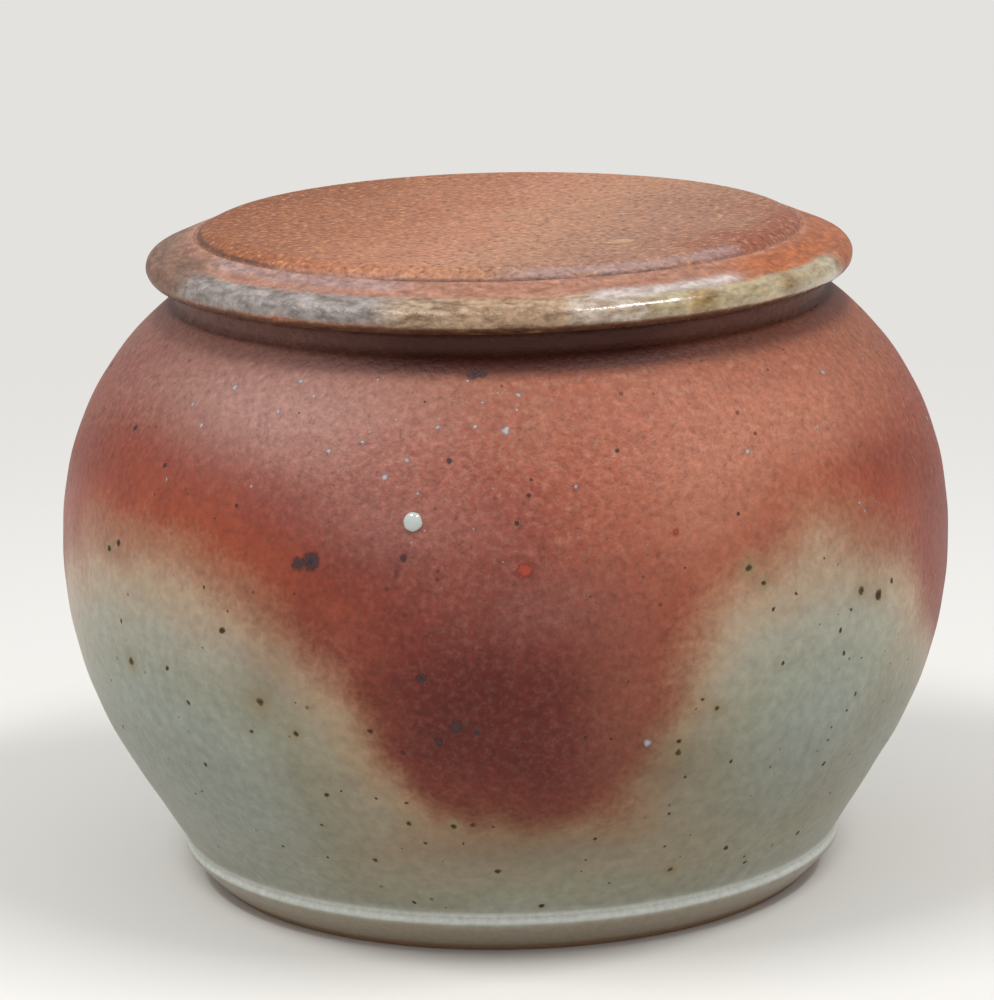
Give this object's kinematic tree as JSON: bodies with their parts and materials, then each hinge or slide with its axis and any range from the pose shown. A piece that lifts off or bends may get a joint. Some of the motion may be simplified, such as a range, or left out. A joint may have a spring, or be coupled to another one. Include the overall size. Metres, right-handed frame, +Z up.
{
  "type": "lidded stoneware pot",
  "caption": "Squat round wheel-thrown stoneware pot for slow-cooked beans, with a bevelled foot, a short neck and a flat knobless lid that lifts off.",
  "frame": {"origin": "centre of the face that the pot stands on", "axes": "+Z up along the axis the pot was turned about; X and Y lie in the plane of the foot, and the side with the low point of the red clay faces -Y"},
  "size_m": [0.1252, 0.1252, 0.0931],
  "materials": {
    "pot_stoneware": "wood-fired red-brown stoneware dipped in pale celadon glaze, satin to gloss, with iron specks",
    "lid_stoneware": "salt-glazed orange-brown stoneware with fly ash on the rim, satin"
  },
  "bodies": {
    "pot": {"pot": "pot_stoneware"},
    "lid": {"lid": "lid_stoneware"}
  },
  "joints": [
    {"name": "lid_lift", "type": "slide", "parent": "pot", "child": "lid", "axis": [0, 0, 1], "range_m": [0, 0.1]}
  ]
}
